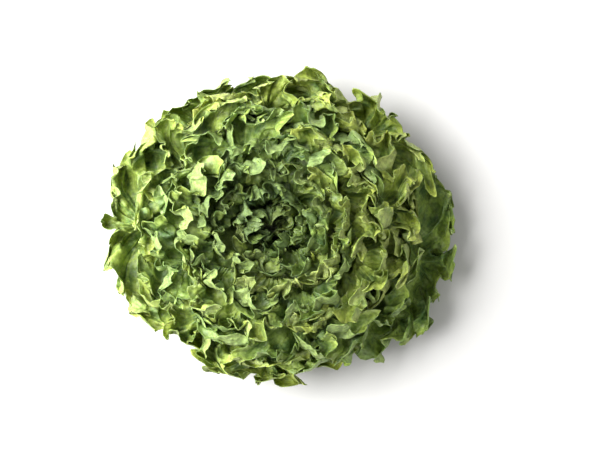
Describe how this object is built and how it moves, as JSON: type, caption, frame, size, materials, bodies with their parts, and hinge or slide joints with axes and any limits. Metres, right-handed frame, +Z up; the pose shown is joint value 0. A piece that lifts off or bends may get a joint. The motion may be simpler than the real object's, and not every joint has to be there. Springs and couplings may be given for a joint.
{
  "type": "green leaf lettuce head",
  "caption": "Cut head of green leaf lettuce: frilled leaves in a spiral on a short stem, standing on the flat cut face.",
  "frame": {"origin": "centre of the stem's flat cut face, which the head rests on", "axes": "+Z up along the stem, +X to the right and +Y to the top of the picture, which looks straight down"},
  "size_m": [0.2787, 0.2474, 0.1251],
  "materials": {
    "leaf_green": "frilled leaf, yellow-green, satin",
    "stem_pale": "cut stem, pale and moist"
  },
  "bodies": {
    "root": {"leaf_01": "leaf_green", "leaf_02": "leaf_green", "leaf_03": "leaf_green", "leaf_04": "leaf_green", "leaf_05": "leaf_green", "leaf_06": "leaf_green", "leaf_07": "leaf_green", "leaf_08": "leaf_green", "leaf_09": "leaf_green", "leaf_10": "leaf_green", "leaf_11": "leaf_green", "leaf_12": "leaf_green", "leaf_13": "leaf_green", "leaf_14": "leaf_green", "leaf_15": "leaf_green", "leaf_16": "leaf_green", "leaf_17": "leaf_green", "leaf_18": "leaf_green", "leaf_19": "leaf_green", "leaf_20": "leaf_green", "leaf_21": "leaf_green", "leaf_22": "leaf_green", "leaf_23": "leaf_green", "leaf_24": "leaf_green", "leaf_25": "leaf_green", "leaf_26": "leaf_green", "leaf_27": "leaf_green", "leaf_28": "leaf_green", "leaf_29": "leaf_green", "leaf_30": "leaf_green", "leaf_31": "leaf_green", "leaf_32": "leaf_green", "leaf_33": "leaf_green", "leaf_34": "leaf_green", "leaf_35": "leaf_green", "stem": "stem_pale"}
  },
  "joints": []
}
